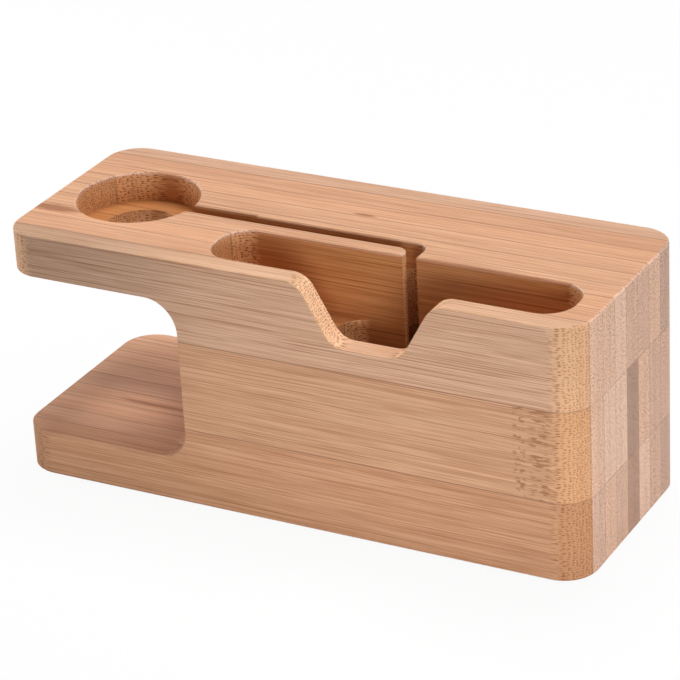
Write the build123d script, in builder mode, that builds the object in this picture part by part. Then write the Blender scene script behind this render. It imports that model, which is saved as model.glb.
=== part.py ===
from build123d import *
from math import radians, tan
import os

os.makedirs("parts", exist_ok=True)

# Boards: three bamboo boards, each pressed from upright strips, glued one on another
block_length = 140.0
block_depth = 53.9
bottom_board = 18.7
middle_board = 21.4
top_board = 19.4
front_strip = 5.5
strip_thickness = 6.15
thinnest_strip = 1.0

# Outline of the glued block
plan_corner = 7.8
edge_softening = 0.6
lower_softening = 0.4
rim_softening = 0.25

# Opening on the left, where a watch strap hangs round the arm
base_height = 10.9
arm_thickness = 10.1
opening_length = 44.0
opening_upper_corner = 7.8
opening_lower_corner = 6.5

# Round recess for the watch charger, and the bore that lets its plug through
charger_diameter = 27.8
charger_clearance = 0.3
recess_depth = 6.9
recess_from_left = 19.4
recess_from_front = 27.7
plug_bore_diameter = 16.8

# Groove and slot that hide the watch charger's cable
cable_diameter = 2.8
cable_clearance = 0.2
groove_widening = 0.6
groove_past_opening = 5.7
slot_depth = 6.1
passage_width = 3.4
slot_outer_corner = 3.0
slot_inner_corner = 2.3

# Pocket that the phone stands in, and the thin tongue behind it
pocket_past_opening = 4.0
pocket_from_right = 6.2
pocket_width = 15.7
pocket_depth = 17.1
pocket_corner = 6.7
tongue_thickness = 3.6

# Notch through the front wall, in front of the phone's lower edge
notch_bottom_width = 16.3
notch_depth = 13.9
notch_side_angle = 60.7
notch_corner = 5.2
notch_left_of_middle = 0.4

# Way down for the cables: hole in the pocket floor, bore behind the tongue, well, channel to the back
plug_hole_length = 30.6
plug_hole_width = 11.2
drop_diameter = 6.0
drop_behind_tongue = 0.5
well_height = 32.0
well_ledge = 1.9
well_behind_slot = 1.0
well_corner = 4.0
channel_width = 9.0
channel_height = 8.0
channel_corner = 2.5

# Non-slip pads, each stuck in a shallow seat under a corner
pad_diameter = 9.0
pad_thickness = 1.6
pad_seat_depth = 1.0
pad_clearance = 0.2
pad_from_end = 12.5
pad_from_side = 11.0

# How far every cutter runs past the face that it opens
cut_overrun = 5.0

# Heights and places that follow from the sizes above
pad_stand = pad_thickness - pad_seat_depth
block_height = bottom_board + middle_board + top_board
top_seam = bottom_board + middle_board
opening_top = block_height - arm_thickness
recess_radius = charger_diameter / 2 + charger_clearance
groove_width = cable_diameter + 2 * cable_clearance + groove_widening
slot_width = cable_diameter + 2 * cable_clearance
pocket_left = opening_length + pocket_past_opening
pocket_length = block_length - pocket_from_right - pocket_left
pocket_centre_x = pocket_left + pocket_length / 2
pocket_back = front_strip + pocket_width
pocket_floor = block_height - pocket_depth
slot_front = pocket_back + tongue_thickness
slot_back = slot_front + slot_width
slot_start = opening_length + groove_past_opening
slot_floor = block_height - slot_depth
drop_y = slot_front + drop_behind_tongue
tongue_end = pocket_centre_x - passage_width / 2
passage_end = pocket_centre_x + passage_width / 2
plug_hole_y = pocket_back - plug_hole_width / 2
well_front = pocket_back - plug_hole_width - well_ledge
well_back = slot_back + well_behind_slot


def plan_at(height):
    """Level plane at a height over the block's underside, measured from its left end and front face."""
    return Plane(origin=(-block_length / 2, -block_depth / 2, pad_stand + height))


# Upright plane on the front face, measured from the block's left end and underside
front_face = Plane(
    origin=(-block_length / 2, -block_depth / 2, pad_stand),
    x_dir=(1, 0, 0),
    z_dir=(0, -1, 0),
)

# The whole block as it is milled after gluing; its strips are parted from it further down
with BuildPart() as block:
    # Outline with rounded upright corners
    with BuildSketch(plan_at(0)):
        with Locations((block_length / 2, block_depth / 2)):
            RectangleRounded(block_length, block_depth, plan_corner)
    extrude(amount=block_height)

    # Strap opening, which leaves the base below and the arm above
    with BuildSketch(front_face):
        with BuildLine():
            FilletPolyline(
                (-cut_overrun, base_height),
                (opening_length, base_height),
                (opening_length, opening_top),
                (-cut_overrun, opening_top),
                radius=[opening_lower_corner, opening_upper_corner],
            )
            Line((-cut_overrun, opening_top), (-cut_overrun, base_height))
        make_face()
    extrude(amount=-block_depth, mode=Mode.SUBTRACT)

    # The foot is chamfered; sanding rounds the opening and, most of all, the top
    chamfer(block.edges().group_by(Axis.Z)[0], lower_softening)
    upright_arcs = block.edges().filter_by(GeomType.CIRCLE).filter_by(Plane.XZ)
    opening_end = opening_length - block_length / 2
    opening_bends = upright_arcs.filter_by_position(Axis.X, -block_length / 2, opening_end)
    fillet(opening_bends, lower_softening)
    fillet(block.edges().group_by(Axis.Z)[-1], edge_softening)

    # Phone pocket
    with BuildSketch(plan_at(pocket_floor)):
        with Locations((pocket_centre_x, front_strip + pocket_width / 2)):
            RectangleRounded(pocket_length, pocket_width, pocket_corner)
    extrude(amount=pocket_depth + cut_overrun, mode=Mode.SUBTRACT)

    # Notch, whose cutter reaches over the top so that all its corners are rounded
    notch_centre_x = pocket_centre_x - notch_left_of_middle
    notch_half = notch_bottom_width / 2
    notch_top_half = notch_half + notch_depth / tan(radians(notch_side_angle))
    notch_reach = notch_top_half + 2 * notch_corner
    with BuildSketch(front_face):
        with BuildLine():
            FilletPolyline(
                (notch_centre_x - notch_reach, block_height),
                (notch_centre_x - notch_top_half, block_height),
                (notch_centre_x - notch_half, block_height - notch_depth),
                (notch_centre_x + notch_half, block_height - notch_depth),
                (notch_centre_x + notch_top_half, block_height),
                (notch_centre_x + notch_reach, block_height),
                radius=notch_corner,
            )
            Polyline(
                (notch_centre_x + notch_reach, block_height),
                (notch_centre_x + notch_reach, block_height + cut_overrun),
                (notch_centre_x - notch_reach, block_height + cut_overrun),
                (notch_centre_x - notch_reach, block_height),
            )
        make_face()
    extrude(amount=-front_strip, mode=Mode.SUBTRACT)

    # Charger recess
    with BuildSketch(plan_at(block_height)):
        with Locations((recess_from_left, recess_from_front)):
            Circle(recess_radius)
    extrude(amount=-recess_depth, mode=Mode.SUBTRACT)

    # Cable groove from the recess, and the slot behind the tongue that turns round its end
    with BuildSketch(plan_at(slot_floor)):
        with Locations((recess_from_left, slot_front)):
            Rectangle(
                slot_start - recess_from_left,
                groove_width,
                align=(Align.MIN, Align.MIN),
            )
        with BuildLine():
            FilletPolyline(
                (slot_start, slot_front),
                (tongue_end, slot_front),
                (tongue_end, pocket_back),
                (passage_end, pocket_back),
                (passage_end, slot_back),
                (slot_start, slot_back),
                radius=[slot_inner_corner, 0, 0, slot_outer_corner],
                close=False,
            )
            Line((slot_start, slot_back), (slot_start, slot_front))
        make_face()
    extrude(amount=slot_depth + cut_overrun, mode=Mode.SUBTRACT)

    # The rims of what is milled into the top stay crisp, with only their arris taken off
    inner_x = (block_length - plan_corner) / 2
    inner_y = (block_depth - plan_corner) / 2
    rims = block.edges().group_by(Axis.Z)[-1]
    rims = rims.filter_by_position(Axis.X, -inner_x, inner_x)
    rims = rims.filter_by_position(Axis.Y, -inner_y, inner_y)
    chamfer(rims, rim_softening)

    # Bore under the charger recess
    with BuildSketch(plan_at(block_height - recess_depth)):
        with Locations((recess_from_left, recess_from_front)):
            Circle(plug_bore_diameter / 2)
    extrude(amount=-arm_thickness, mode=Mode.SUBTRACT)

    # Plug hole in the pocket floor, flush with the front of the tongue
    with BuildSketch(plan_at(well_height)):
        with Locations((pocket_centre_x, plug_hole_y)):
            SlotOverall(plug_hole_length, plug_hole_width)
    extrude(amount=pocket_floor - well_height, mode=Mode.SUBTRACT)

    # Bore for the watch charger's cable under the slot's end, and the passage from it to the pocket
    with BuildSketch(plan_at(well_height)):
        with Locations((pocket_centre_x, drop_y)):
            Circle(drop_diameter / 2)
        with Locations((pocket_centre_x, pocket_back)):
            Rectangle(passage_width, drop_y - pocket_back, align=(Align.CENTER, Align.MIN))
    extrude(amount=slot_floor - well_height, mode=Mode.SUBTRACT)

    # Cable well, cut from below, which takes in the plug hole and the bore
    with BuildSketch(plan_at(0)):
        with Locations((pocket_centre_x, (well_front + well_back) / 2)):
            RectangleRounded(
                plug_hole_length + 2 * well_ledge, well_back - well_front, well_corner
            )
    extrude(amount=well_height, mode=Mode.SUBTRACT)

    # Channel under the block, from the well to the back
    with BuildSketch(front_face.offset(-well_back)):
        with BuildLine():
            FilletPolyline(
                (pocket_centre_x - channel_width / 2, 0),
                (pocket_centre_x - channel_width / 2, channel_height),
                (pocket_centre_x + channel_width / 2, channel_height),
                (pocket_centre_x + channel_width / 2, 0),
                radius=channel_corner,
            )
            Line(
                (pocket_centre_x + channel_width / 2, 0),
                (pocket_centre_x - channel_width / 2, 0),
            )
        make_face()
    extrude(amount=well_back - block_depth, mode=Mode.SUBTRACT)

    # Shallow seats for the pads
    pad_places = [
        (x, y)
        for x in (pad_from_end, block_length - pad_from_end)
        for y in (pad_from_side, block_depth - pad_from_side)
    ]
    with BuildSketch(plan_at(0)):
        with Locations(*pad_places):
            Circle(pad_diameter / 2 + pad_clearance)
    extrude(amount=pad_seat_depth, mode=Mode.SUBTRACT)

# Glue lines between the strips, from front to back; the last strip is what the depth leaves
glue_lines = [0, front_strip]
while glue_lines[-1] + strip_thickness + thinnest_strip < block_depth:
    glue_lines.append(glue_lines[-1] + strip_thickness)
glue_lines.append(block_depth)

boards = {
    "bottom_board": (0, bottom_board),
    "middle_board": (bottom_board, top_seam),
    "top_board": (top_seam, block_height),
}

# A strip that the milling cuts in two gives two pieces, named by the end that they lie at
ends = {1: [""], 2: ["_left", "_right"], 3: ["_left", "_centre", "_right"]}

for board, (low, high) in boards.items():
    for number, (near, far) in enumerate(zip(glue_lines, glue_lines[1:]), start=1):
        with BuildPart() as strip:
            add(block.part)
            with BuildSketch(plan_at(low)):
                with Locations((0, near)):
                    Rectangle(block_length, far - near, align=(Align.MIN, Align.MIN))
            extrude(amount=high - low, mode=Mode.INTERSECT)
        lengths = strip.solids().sort_by(Axis.X)
        for end, length in zip(ends[len(lengths)], lengths):
            with BuildPart() as piece:
                add(length)
            piece.part.label = f"{board}_strip_{number}{end}"
            export_step(piece.part, f"parts/{piece.part.label}.step")

# Pads of soft rubber, round, with their lower edge broken
pad_names = ["pad_front_left", "pad_back_left", "pad_front_right", "pad_back_right"]
for name, (x, y) in zip(pad_names, pad_places):
    with BuildPart() as pad:
        with BuildSketch(plan_at(-pad_stand)):
            with Locations((x, y)):
                Circle(pad_diameter / 2)
        extrude(amount=pad_thickness)
        chamfer(pad.edges().group_by(Axis.Z)[0], pad_stand / 2)
    pad.part.label = name
    export_step(pad.part, f"parts/{name}.step")
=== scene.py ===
import random

import bmesh
import bpy
from math import cos, radians, sin
from mathutils import Matrix, Vector


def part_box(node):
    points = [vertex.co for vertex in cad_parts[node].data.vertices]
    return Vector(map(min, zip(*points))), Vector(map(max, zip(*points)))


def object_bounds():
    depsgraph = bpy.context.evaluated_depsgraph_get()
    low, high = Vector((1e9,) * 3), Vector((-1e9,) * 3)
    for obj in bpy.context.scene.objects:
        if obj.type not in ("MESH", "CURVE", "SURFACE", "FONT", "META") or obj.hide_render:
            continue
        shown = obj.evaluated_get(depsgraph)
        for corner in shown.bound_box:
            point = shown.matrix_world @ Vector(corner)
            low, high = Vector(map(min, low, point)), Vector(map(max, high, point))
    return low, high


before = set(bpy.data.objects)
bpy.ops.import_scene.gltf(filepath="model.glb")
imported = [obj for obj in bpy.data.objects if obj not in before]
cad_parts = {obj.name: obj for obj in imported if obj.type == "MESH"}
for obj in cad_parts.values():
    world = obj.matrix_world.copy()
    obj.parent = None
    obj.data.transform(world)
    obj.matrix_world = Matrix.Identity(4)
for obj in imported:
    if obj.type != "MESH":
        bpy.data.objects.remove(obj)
cad_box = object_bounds()

# Camera: the place and lens from which the dock was photographed, a little above it and to its
# right, found by fitting the dock's own edges. Its roll is the photograph's slight tilt.
camera_azimuth = radians(28.9848)
camera_elevation = radians(25.8926)
camera_roll = radians(-3.1504)
camera_place = Vector((0.303566, -0.548512, 0.337980))
focal_pixels = 3135.85
picture_pixels = 680
sensor_width = 36.0
nearest_seen = 0.01

level_right = Vector((cos(camera_azimuth), sin(camera_azimuth), 0))
backwards = Vector((
    sin(camera_azimuth) * cos(camera_elevation),
    -cos(camera_azimuth) * cos(camera_elevation),
    sin(camera_elevation),
))
level_up = backwards.cross(level_right)
camera_right = cos(camera_roll) * level_right + sin(camera_roll) * level_up
camera_up = cos(camera_roll) * level_up - sin(camera_roll) * level_right
turn = Matrix((camera_right, camera_up, backwards)).transposed()
camera_data = bpy.data.cameras.new("photo_camera")
camera_data.sensor_width = sensor_width
camera_data.lens = focal_pixels / picture_pixels * sensor_width
camera_data.clip_start = nearest_seen
camera = bpy.data.objects.new("photo_camera", camera_data)
camera.matrix_world = Matrix.Translation(camera_place) @ turn.to_4x4()
bpy.context.scene.collection.objects.link(camera)
bpy.context.scene.camera = camera

# Bamboo strips: each board is pressed from upright strips, glued face to face. The fibres run from
# end to end of the dock, so end grain shows dots and every other face shows long streaks. The glued
# block is milled, sanded and thinly oiled.
millimetre = 0.001
lowest_corner, highest_corner = cad_box
top_level = highest_corner[2]
front_level = lowest_corner[1]
opening_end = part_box("middle_board_strip_6")[0][0]
arm_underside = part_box("top_board_strip_5_left")[0][2]
corner_radius = 0.0078


def node(tree, kind, inputs=(), **settings):
    """Adds a shader node, sets its settings, and links or sets its inputs by name or number."""
    made = tree.nodes.new(kind)
    for name, value in settings.items():
        setattr(made, name, value)
    for name, value in dict(inputs).items():
        if isinstance(value, bpy.types.NodeSocket):
            tree.links.new(value, made.inputs[name])
        else:
            made.inputs[name].default_value = value
    return made


def maths(tree, operation, first, second=0.0, third=0.0):
    """One Math node on numbers or sockets."""
    inputs = {0: first, 1: second, 2: third}
    return node(tree, "ShaderNodeMath", inputs, operation=operation).outputs[0]


def vector_maths(tree, operation, first, second=(0, 0, 0)):
    """One Vector Math node on places or sockets."""
    made = node(tree, "ShaderNodeVectorMath", {0: first, 1: second}, operation=operation)
    return made.outputs["Value" if operation == "LENGTH" else "Vector"]


def parts_of(tree, vector):
    """The X, Y and Z of a place or a direction."""
    return node(tree, "ShaderNodeSeparateXYZ", {0: vector}).outputs


def smooth_step(tree, value, low, high, out_low=0.0, out_high=1.0):
    """A soft step from out_low to out_high as value goes from low to high."""
    inputs = {"Value": value, "From Min": low, "From Max": high, "To Min": out_low, "To Max": out_high}
    made = node(tree, "ShaderNodeMapRange", inputs, interpolation_type="SMOOTHSTEP")
    return made.outputs["Result"]


def blend_colours(tree, amount, first, second, blend_type="MIX"):
    """One Mix node on colours, which are sockets or red, green and blue."""
    made = node(tree, "ShaderNodeMix", data_type="RGBA", blend_type=blend_type)
    sockets = {socket.identifier: socket for socket in made.inputs}
    if isinstance(amount, bpy.types.NodeSocket):
        tree.links.new(amount, sockets["Factor_Float"])
    else:
        sockets["Factor_Float"].default_value = amount
    for name, colour in (("A_Color", first), ("B_Color", second)):
        if isinstance(colour, bpy.types.NodeSocket):
            tree.links.new(colour, sockets[name])
        else:
            sockets[name].default_value = (*colour, 1)
    return next(socket for socket in made.outputs if socket.identifier == "Result_Color")


def tinted(tree, colour, amount, first, second):
    """The colour, multiplied by a tint that goes from first to second with the amount."""
    tint = blend_colours(tree, amount, first, second)
    return blend_colours(tree, 1.0, colour, tint, "MULTIPLY")


# Grain features in millimetres: length along the fibres and width across them
drift_size = (110, 9)
fibre_size = (18, 0.2)
thread_size = (90, 0.26)
band_size = (150, 2.2)
cloud_size = (60, 5)
feather_size = (7, 0.35)


def stretched(tree, place, size):
    """The place in units of one grain feature, long along the fibres and narrow across them."""
    along, across = size
    scale = (1 / along, 1 / across, 1 / across)
    return node(tree, "ShaderNodeMapping", {"Vector": place, "Scale": scale}).outputs[0]


def noise(tree, place, scale=1.0, detail=2.0, roughness=0.5):
    """Noise from 0 to 1 at a place."""
    inputs = {"Vector": place, "Scale": scale, "Detail": detail, "Roughness": roughness}
    return node(tree, "ShaderNodeTexNoise", inputs).outputs["Fac"]


def crisp_streaks(tree, place, size):
    """Noise drawn out along the fibres, with sharp edges across them."""
    return noise(tree, stretched(tree, place, size), detail=3.0, roughness=0.6)


def soft_streaks(tree, place, size):
    """Noise drawn out along the fibres, with soft edges across them."""
    return noise(tree, stretched(tree, place, size))


# How far the fibres wander from straight, in millimetres
furthest_wander = 1.3


def wandering(tree, place):
    """The place in millimetres with its fibres wandering, so streaks come and go along a face."""
    drift = node(tree, "ShaderNodeTexNoise", {"Vector": stretched(tree, place, drift_size), "Scale": 1.0})
    centred = vector_maths(tree, "SUBTRACT", drift.outputs["Color"], (0.5, 0.5, 0.5))
    wander = vector_maths(tree, "MULTIPLY", centred, (0, furthest_wander, furthest_wander))
    return vector_maths(tree, "ADD", place, wander)


# Bundles of dark fibre, as their spacing and radius in millimetres. The cane has fine ones near its
# skin, which is a strip's outer side, and coarse ones inside. They give way to each other over
# shares of the strip's thickness.
fine_bundles = (0.54, 0.21)
coarse_bundles = (0.66, 0.26)
fine_shares = (0.1, 0.5)
coarse_shares = (0.3, 0.7)
bundle_scatter = 0.6
bundle_core_share = 0.4
bundle_chances = (0.1, 0.9)
faintest_bundle = 0.5


def bundle_dots(tree, grain, spacing, radius):
    """Cut ends of fibre bundles: round dots in the plane across the grain, some darker than others."""
    parts = parts_of(tree, grain)
    across = node(tree, "ShaderNodeCombineXYZ", {0: parts["Y"], 1: parts["Z"]}).outputs[0]
    inputs = {"Vector": across, "Scale": 1 / spacing, "Randomness": bundle_scatter}
    cells = node(tree, "ShaderNodeTexVoronoi", inputs, voronoi_dimensions="2D").outputs
    edge = radius / spacing
    dot = smooth_step(tree, cells["Distance"], edge, edge * bundle_core_share)
    chance = node(tree, "ShaderNodeSeparateColor", {0: cells["Color"]}).outputs[0]
    strength = smooth_step(tree, chance, *bundle_chances, faintest_bundle, 1.0)
    return maths(tree, "MULTIPLY", dot, strength)


def fibre_bundles(tree, grain, outer):
    """All bundles of a strip, given how near its outer side a place lies."""
    near_skin = smooth_step(tree, outer, *fine_shares)
    inside = smooth_step(tree, outer, *coarse_shares, 1.0, 0.0)
    fine = maths(tree, "MULTIPLY", bundle_dots(tree, grain, *fine_bundles), near_skin)
    coarse = maths(tree, "MULTIPLY", bundle_dots(tree, grain, *coarse_bundles), inside)
    return maths(tree, "MAXIMUM", fine, coarse)


# Tints that multiply a strip's own colour, from the darker to the lighter, and the levels of their
# streaks between which they change
untinted = (1.0, 1.0, 1.0)
band_tints = ((0.91, 0.87, 0.84), (1.07, 1.10, 1.12))
cloud_tints = ((0.92, 0.90, 0.88), (1.06, 1.08, 1.10))
fibre_tints = ((0.83, 0.76, 0.70), (1.06, 1.08, 1.10))
fibre_levels = (0.35, 0.62)
thread_levels = (0.36, 0.49)


def along_the_grain(tree, tone, grain, fibre, thread_tint):
    """Colour of the faces along the fibres, with bands, fine fibre and long dark threads."""
    ground = tinted(tree, tone, soft_streaks(tree, grain, band_size), *band_tints)
    ground = tinted(tree, ground, smooth_step(tree, fibre, *fibre_levels), *fibre_tints)
    threads = smooth_step(tree, crisp_streaks(tree, grain, thread_size), *thread_levels)
    return tinted(tree, ground, threads, thread_tint, untinted)


def across_the_grain(tree, tone, own):
    """Colour of the end grain between its bundles, a little clouded."""
    return tinted(tree, tone, soft_streaks(tree, own, cloud_size), *cloud_tints)


# The top board is warmer where it faces up, partly from its own cut and partly as painted light from
# the lamps above. The upper front strip has darker threads, and painted shade that darkens the arm's
# end, which fades between two distances from that end in millimetres.
top_grain_and_painted_light_tint = (1.02, 0.975, 0.90)
top_levels = (0.5, 0.9)
usual_thread_tint = (0.80, 0.69, 0.60)
upper_front_thread_tint = (0.70, 0.57, 0.48)
arm_end_painted_shade_tint = (0.75, 0.76, 0.78)
arm_end_painted_shade_fade = (20, 60)

# Painted light and shade on the milled faces, as tints along the grain and on end grain: painted
# shade darkens the hollows, and painted light makes the thin front wall's cut faces lighter than the
# rest.
front_wall_painted_light_tints = ((1.12, 1.14, 1.2), (1.23, 1.28, 1.38))
hollow_painted_shade_tints = ((0.84, 0.66, 0.40), (0.96, 0.79, 0.51))
outline_skin = 0.0004


def milled_faces(tree, metres):
    """1 inside what is milled into the top, and 0 on the outside and round the strap opening."""
    middle_x, middle_y, _ = ((first + last) / 2 for first, last in zip(*cad_box))
    half_x, half_y, _ = ((last - first) / 2 - corner_radius for first, last in zip(*cad_box))
    level = node(tree, "ShaderNodeCombineXYZ", {0: metres["X"], 1: metres["Y"]}).outputs[0]
    folded = vector_maths(tree, "SUBTRACT", level, (middle_x, middle_y, 0))
    folded = vector_maths(tree, "ABSOLUTE", folded)
    past_straight = vector_maths(tree, "SUBTRACT", folded, (half_x, half_y, 0))
    past_straight = vector_maths(tree, "MAXIMUM", past_straight)
    to_outline = vector_maths(tree, "LENGTH", past_straight)
    inside = maths(tree, "LESS_THAN", to_outline, corner_radius - outline_skin)
    below_top = smooth_step(tree, metres["Z"], top_level - outline_skin / 2, top_level - 3 * outline_skin)
    beyond_opening = maths(tree, "GREATER_THAN", metres["X"], opening_end + outline_skin)
    in_arm = maths(tree, "GREATER_THAN", metres["Z"], arm_underside + outline_skin)
    reached = maths(tree, "MAXIMUM", beyond_opening, in_arm)
    return maths(tree, "MULTIPLY", maths(tree, "MULTIPLY", inside, below_top), reached)


# Knuckle of the cane, as rows of dark specks: each has its place beside the knuckle's middle, its
# reach, the size of its specks, and how rare they are
speck_rows = (
    (-2.3, 1.8, (1.6, 0.8), 0.47),
    (2.4, 3.2, (3.0, 0.5), 0.50),
)
speck_row_core_share = 0.4
speck_softness = 0.1
speck_colour = (0.41, 0.19, 0.085)


def knuckle_marks(tree, surface, own, x, middle):
    """The surface where the fibres break up into specks and then into short dashes."""
    for off_middle, reach, size, rarity in speck_rows:
        from_row = maths(tree, "ABSOLUTE", maths(tree, "SUBTRACT", x, middle + off_middle))
        in_row = smooth_step(tree, from_row, reach, reach * speck_row_core_share)
        specks = noise(tree, stretched(tree, own, size), detail=2.0, roughness=0.6)
        shade = smooth_step(tree, specks, rarity, rarity - speck_softness)
        surface = blend_colours(tree, maths(tree, "MULTIPLY", in_row, shade), surface, speck_colour)
    return surface


# Stains: their colour, how far their edge feathers, and where it fades, as shares of their half size
stain_colour = (0.36, 0.14, 0.06)
stain_feathering = 1.6
stain_edge_shares = (1.3, 0.5)


def stain_mark(tree, surface, own, in_mm, middle, half_size):
    """The surface with a reddish feathery patch along the grain."""
    from_middle = vector_maths(tree, "SUBTRACT", in_mm, middle)
    away = vector_maths(tree, "LENGTH", vector_maths(tree, "DIVIDE", from_middle, half_size))
    shortened = maths(tree, "SUBTRACT", away, stain_feathering / 2)
    feathers = crisp_streaks(tree, own, feather_size)
    edge = maths(tree, "MULTIPLY_ADD", feathers, stain_feathering, shortened)
    return blend_colours(tree, smooth_step(tree, edge, *stain_edge_shares), surface, stain_colour)


# Glue: its colour, how far its line reaches from the joint in millimetres, how far a face has to turn
# away from the joint's plane to show it, and its strength along the grain and on end grain
glue_colour = (0.25, 0.11, 0.06)
glue_reach = (0.2, 0.07)
glue_facing = (0.9, 0.6)
glue_strengths = (0.7, 0.4)


def glue_lines(tree, axes, normal, lowest, highest):
    """Thin lines where the strip meets its neighbours, on the faces that cut across them."""
    glue = 0.0
    for index, axis in ((1, "Y"), (2, "Z")):
        shown = smooth_step(tree, maths(tree, "ABSOLUTE", normal[axis]), *glue_facing)
        for side in (0, 1):
            joint = (lowest, highest)[side][index]
            if abs(joint - cad_box[side][index]) > millimetre:
                gap = maths(tree, "ABSOLUTE", maths(tree, "SUBTRACT", axes[axis], joint / millimetre))
                line = maths(tree, "MULTIPLY", smooth_step(tree, gap, *glue_reach), shown)
                glue = maths(tree, "MAXIMUM", glue, line)
    return glue


# How each strip is laid: how far its grain may be moved in millimetres, and the share of the inner
# strips that have their skin side in front
furthest_shift = 40
outer_first_share = 0.4

# How squarely the fibres are cut, from a face along them to a flat end, and how bundles look there
raggedness = 0.3
end_grain_levels = (0.18, 0.56)
dash_levels = (0.1, 0.4)
flat_end_levels = (0.93, 0.99)
least_dash = 0.3
inner_dot_level = 0.95
dash_tint = (0.58, 0.40, 0.28)
dot_tint = (0.38, 0.24, 0.16)

# Finish: roughness along the grain and on end grain, the oil's shine, and the relief of the fibres
roughnesses = (0.48, 0.62)
bundle_gloss = 0.05
oil_shine = 0.22
bundle_sink = 0.8
relief_strength = 0.2
relief_depth = 0.00005


def bamboo(name, lowest, highest, tones, knuckle, stain, seed):
    """Material of one strip from the corners of its box, its two colours, its knuckle and its stain."""
    material = bpy.data.materials.new(name)
    material.use_nodes = True
    tree = material.node_tree
    shader = tree.nodes["Principled BSDF"]
    draw = random.Random(seed)
    shift = tuple(draw.uniform(-furthest_shift, furthest_shift) for _ in range(3))
    low, high = (tuple(value / millimetre for value in corner) for corner in (lowest, highest))
    at_front = lowest[1] < front_level + millimetre
    at_top = highest[2] > top_level - millimetre
    at_upper_front = at_top and at_front
    outer_first = at_front or draw.random() < outer_first_share

    # Place in millimetres, moved so that no two strips share their grain
    here = node(tree, "ShaderNodeTexCoord").outputs["Object"]
    in_mm = vector_maths(tree, "MULTIPLY", here, (1 / millimetre,) * 3)
    axes = parts_of(tree, in_mm)
    own = vector_maths(tree, "ADD", in_mm, shift)
    grain = wandering(tree, own)
    fibre = crisp_streaks(tree, grain, fibre_size)
    outer = smooth_step(tree, axes["Y"], low[1], high[1], *((1, 0) if outer_first else (0, 1)))
    bundles = fibre_bundles(tree, grain, outer)

    # How squarely the surface cuts the fibres, and where the cutters have been
    normal = parts_of(tree, node(tree, "ShaderNodeNewGeometry").outputs["Normal"])
    squarely = maths(tree, "ABSOLUTE", normal["X"])
    ragged = maths(tree, "MULTIPLY_ADD", fibre, raggedness, squarely)
    end_grain = smooth_step(tree, ragged, *end_grain_levels)
    flat_end = smooth_step(tree, squarely, *flat_end_levels)
    milled = milled_faces(tree, parts_of(tree, here))

    # Ground colour along the grain and on end grain
    long_tone, end_tone = tones
    thread_tint = upper_front_thread_tint if at_upper_front else usual_thread_tint
    long_ground = along_the_grain(tree, long_tone, grain, fibre, thread_tint)
    # Painted light: the top board's faces that look up are warmed, partly for their own cut
    if at_top:
        upward = smooth_step(tree, maths(tree, "ABSOLUTE", normal["Z"]), *top_levels)
        long_ground = tinted(tree, long_ground, upward, untinted, top_grain_and_painted_light_tint)
    # Painted shade: the upper front strip darkens towards the arm's end
    if at_upper_front:
        past_arm_end = smooth_step(tree, axes["X"], *(low[0] + reach for reach in arm_end_painted_shade_fade))
        long_ground = tinted(tree, long_ground, past_arm_end, arm_end_painted_shade_tint, untinted)
    ground = blend_colours(tree, end_grain, long_ground, across_the_grain(tree, end_tone, own))

    # Bundles, as dark dots where they are cut square and as paler dashes where they are cut aslant
    on_outer_end = maths(tree, "MULTIPLY", flat_end, maths(tree, "SUBTRACT", 1.0, milled))
    dot_level = smooth_step(tree, on_outer_end, 0.0, 1.0, inner_dot_level, 1.0)
    dashes = smooth_step(tree, ragged, *dash_levels)
    dash_level = smooth_step(tree, dashes, 0.0, 1.0, least_dash, 1.0)
    bundle_level = maths(tree, "MULTIPLY", dot_level, dash_level)
    bundle_dark = blend_colours(tree, maths(tree, "MAXIMUM", milled, flat_end), dash_tint, dot_tint)
    bundle_strength = maths(tree, "MULTIPLY", bundles, bundle_level)
    surface = tinted(tree, ground, bundle_strength, untinted, bundle_dark)

    # Marks on the surface, then the painted shade of the hollows and the painted light of the front
    # wall's cut faces
    if knuckle is not None:
        surface = knuckle_marks(tree, surface, own, axes["X"], knuckle)
    if stain is not None:
        surface = stain_mark(tree, surface, own, in_mm, *stain)
    glue_level = smooth_step(tree, end_grain, 0.0, 1.0, *glue_strengths)
    glue = maths(tree, "MULTIPLY", glue_lines(tree, axes, normal, lowest, highest), glue_level)
    surface = blend_colours(tree, glue, surface, glue_colour)
    # Painted shade inside the hollows, painted light on the front wall's milled faces
    painted_light_and_shade = blend_colours(tree, end_grain, *(front_wall_painted_light_tints if at_front else hollow_painted_shade_tints))
    surface = tinted(tree, surface, milled, untinted, painted_light_and_shade)
    tree.links.new(surface, shader.inputs["Base Color"])

    # Sanded and thinly oiled: the bundles are slick, the end grain is dull
    rough = smooth_step(tree, end_grain, 0.0, 1.0, *roughnesses)
    rough = maths(tree, "SUBTRACT", rough, maths(tree, "MULTIPLY", bundles, bundle_gloss))
    tree.links.new(rough, shader.inputs["Roughness"])
    shader.inputs["Specular IOR Level"].default_value = oil_shine
    height = maths(tree, "SUBTRACT", fibre, maths(tree, "MULTIPLY", bundles, bundle_sink))
    inputs = {"Height": height, "Strength": relief_strength, "Distance": relief_depth}
    tree.links.new(node(tree, "ShaderNodeBump", inputs).outputs[0], shader.inputs["Normal"])
    return material


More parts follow.
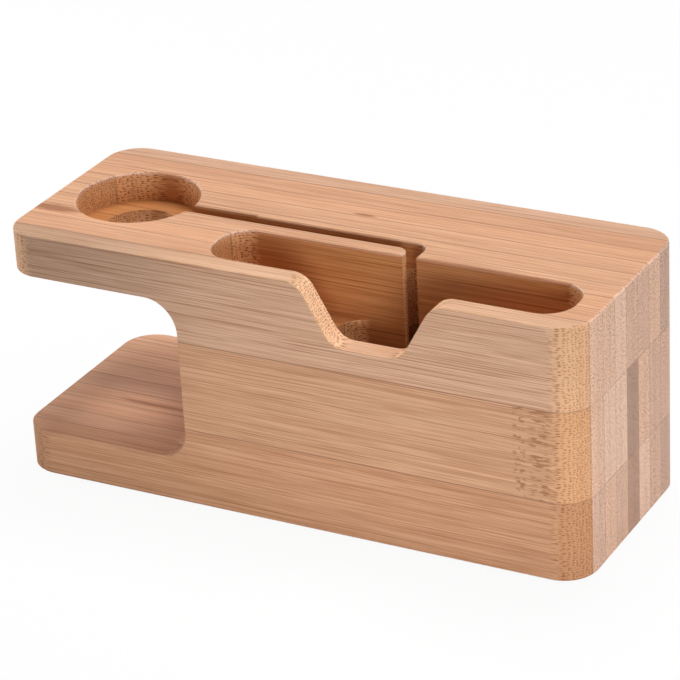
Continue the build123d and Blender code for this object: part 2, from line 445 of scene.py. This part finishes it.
# Each shade of bamboo, as its colour along the grain and on its end grain
shades = {
    "ash": ((0.735, 0.465, 0.312), (0.74, 0.44, 0.25)),
    "honey": ((0.71, 0.415, 0.25), (0.70, 0.385, 0.20)),
    "amber": ((0.69, 0.385, 0.225), (0.56, 0.285, 0.145)),
    "pale": ((0.74, 0.44, 0.285), (0.87, 0.60, 0.45)),
    "rosy": ((0.71, 0.405, 0.255), (0.82, 0.535, 0.385)),
    "blush": ((0.77, 0.445, 0.28), (0.82, 0.535, 0.385)),
    "tan": ((0.70, 0.41, 0.26), (0.75, 0.49, 0.36)),
    "grey": ((0.65, 0.41, 0.29), (0.75, 0.49, 0.36)),
    "brown": ((0.66, 0.375, 0.235), (0.645, 0.43, 0.325)),
    "smoky": ((0.66, 0.40, 0.27), (0.535, 0.33, 0.235)),
    "dark": ((0.52, 0.29, 0.18), (0.50, 0.315, 0.23)),
}

# The shades of each board's strips from front to back
board_shades = {
    "top_board": ("ash", "rosy", "blush", "pale", "tan", "tan", "rosy", "brown", "grey"),
    "middle_board": ("honey", "rosy", "pale", "pale", "dark", "rosy", "tan", "tan", "tan"),
    "bottom_board": ("amber", "tan", "rosy", "tan", "smoky", "pale", "tan", "brown", "tan"),
}

# Marks in millimetres: a knuckle has its place along the strip, a stain its middle and half its size
knuckles = {"middle_board_strip_1": 58.0}
stains = {
    "top_board_strip_3_left": ((-66.0, -11.4, 60.1), (8.0, 1.9, 3.0)),
    "top_board_strip_7": ((2.0, 10.2, 60.1), (2.8, 0.6, 1.5)),
    "bottom_board_strip_4_left": ((-46.3, -6.4, 11.5), (9.0, 0.8, 1.5)),
}
strip_names = sorted(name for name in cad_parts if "_strip_" in name)
for seed, name in enumerate(strip_names):
    board, place = name.split("_strip_")
    tones = shades[board_shades[board][int(place[0]) - 1]]
    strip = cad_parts[name]
    marks = (knuckles.get(name), stains.get(name))
    strip.material_slots[0].material = bamboo(name, *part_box(name), tones, *marks, seed)

# Non-slip pads: small discs of black rubber stuck in shallow seats under the corners. Their skin
# is matt, with a fine moulded grain and a little dust.
rubber_black = (0.022, 0.022, 0.024)
rubber_dusty = (0.05, 0.048, 0.045)
rubber_grain_scale = 2500.0
rubber_dust_scale = 160.0
rubber_grain_levels = (0.2, 0.8)
rubber_roughnesses = (0.62, 0.85)
rubber_shine = 0.35
rubber_relief_strength = 0.3
rubber_relief_depth = 0.0001

rubber = bpy.data.materials.new("pad_rubber")
rubber.use_nodes = True
rubber_tree = rubber.node_tree
rubber_shader = rubber_tree.nodes["Principled BSDF"]
rubber_shader.inputs["Specular IOR Level"].default_value = rubber_shine
rubber_place = node(rubber_tree, "ShaderNodeTexCoord").outputs["Object"]
rubber_dust = noise(rubber_tree, rubber_place, rubber_dust_scale)
rubber_colour = blend_colours(rubber_tree, rubber_dust, rubber_black, rubber_dusty)
rubber_tree.links.new(rubber_colour, rubber_shader.inputs["Base Color"])
rubber_grain = noise(rubber_tree, rubber_place, rubber_grain_scale, detail=3.0)
rubber_rough = smooth_step(rubber_tree, rubber_grain, *rubber_grain_levels, *rubber_roughnesses)
rubber_tree.links.new(rubber_rough, rubber_shader.inputs["Roughness"])
rubber_relief = node(
    rubber_tree,
    "ShaderNodeBump",
    {"Height": rubber_grain, "Strength": rubber_relief_strength, "Distance": rubber_relief_depth},
)
rubber_tree.links.new(rubber_relief.outputs[0], rubber_shader.inputs["Normal"])
for name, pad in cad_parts.items():
    if name.startswith("pad_"):
        pad.material_slots[0].material = rubber

# Floor: a plain white sheet under the dock. The camera and reflections see it as near white, and
# it keeps the dock's shadow.
floor_half = 3.0
white = (1, 1, 1, 1)
paper_colour = (0.9, 0.9, 0.9, 1)
paper_glow_share = 0.93

floor_mesh = bpy.data.meshes.new("floor")
floor_form = bmesh.new()
bmesh.ops.create_grid(floor_form, x_segments=1, y_segments=1, size=floor_half)
floor_form.to_mesh(floor_mesh)
floor_form.free()
floor = bpy.data.objects.new("floor", floor_mesh)
bpy.context.scene.collection.objects.link(floor)
paper = bpy.data.materials.new("white_sheet")
paper.use_nodes = True
paper_tree = paper.node_tree
paper_diffuse = node(paper_tree, "ShaderNodeBsdfDiffuse", {"Color": paper_colour}).outputs[0]
paper_glow = node(paper_tree, "ShaderNodeEmission", {"Color": white, "Strength": 1.0}).outputs[0]
rays = node(paper_tree, "ShaderNodeLightPath").outputs
seen = maths(paper_tree, "MAXIMUM", rays["Is Camera Ray"], rays["Is Glossy Ray"])
glow_level = maths(paper_tree, "MULTIPLY", seen, paper_glow_share)
paper_mix = node(paper_tree, "ShaderNodeMixShader", {0: glow_level, 1: paper_diffuse, 2: paper_glow})
paper_tree.links.new(paper_mix.outputs[0], paper_tree.nodes["Material Output"].inputs["Surface"])
paper_tree.nodes.remove(paper_tree.nodes["Principled BSDF"])
floor_mesh.materials.append(paper)

# World: the pale studio around the dock. It is white to the camera, through glass and in reflections,
# and gives an even soft fill to everything else.
fill_level = 0.14
world = bpy.data.worlds.new("studio")
bpy.context.scene.world = world
world.use_nodes = True
sky_tree = world.node_tree
sky_rays = node(sky_tree, "ShaderNodeLightPath").outputs
seen_by_lens = maths(sky_tree, "MAXIMUM", sky_rays["Is Camera Ray"], sky_rays["Is Transmission Ray"])
seen_directly = maths(sky_tree, "MAXIMUM", seen_by_lens, sky_rays["Is Glossy Ray"])
sky_tree.nodes["Background"].inputs["Color"].default_value = white
sky_level = smooth_step(sky_tree, seen_directly, 0.0, 1.0, fill_level, 1.0)
sky_tree.links.new(sky_level, sky_tree.nodes["Background"].inputs["Strength"])

# Studio lamps: soft boxes above and behind, to the right and to the left, and a narrow beam low in
# front. Each has its place, side, power in watts, spread in degrees, and the place that it faces.
lamps = {
    "overhead_softbox": ((0.0, 0.22, 0.80), 0.4, 4.7, 180, (0, 0, 0.03)),
    "front_softbox": ((0.25, -0.34, 0.08), 0.15, 0.052, 38, (0.005, 0, 0.0)),
    "right_softbox": ((0.60, 0.0, 0.50), 0.4, 1.4, 180, (0, 0, 0.03)),
    "left_softbox": ((-0.50, 0.04, 0.20), 0.3, 1.0, 180, (-0.04, 0, 0.02)),
}
for name, (place, side, power, spread, target) in lamps.items():
    lamp = bpy.data.lights.new(name, "AREA")
    lamp.shape = "SQUARE"
    lamp.size = side
    lamp.energy = power
    lamp.spread = radians(spread)
    lamp_object = bpy.data.objects.new(name, lamp)
    facing = (Vector(target) - Vector(place)).to_track_quat("-Z", "Y").to_matrix().to_4x4()
    lamp_object.matrix_world = Matrix.Translation(place) @ facing
    bpy.context.scene.collection.objects.link(lamp_object)

bpy.context.scene.view_settings.view_transform = "Standard"
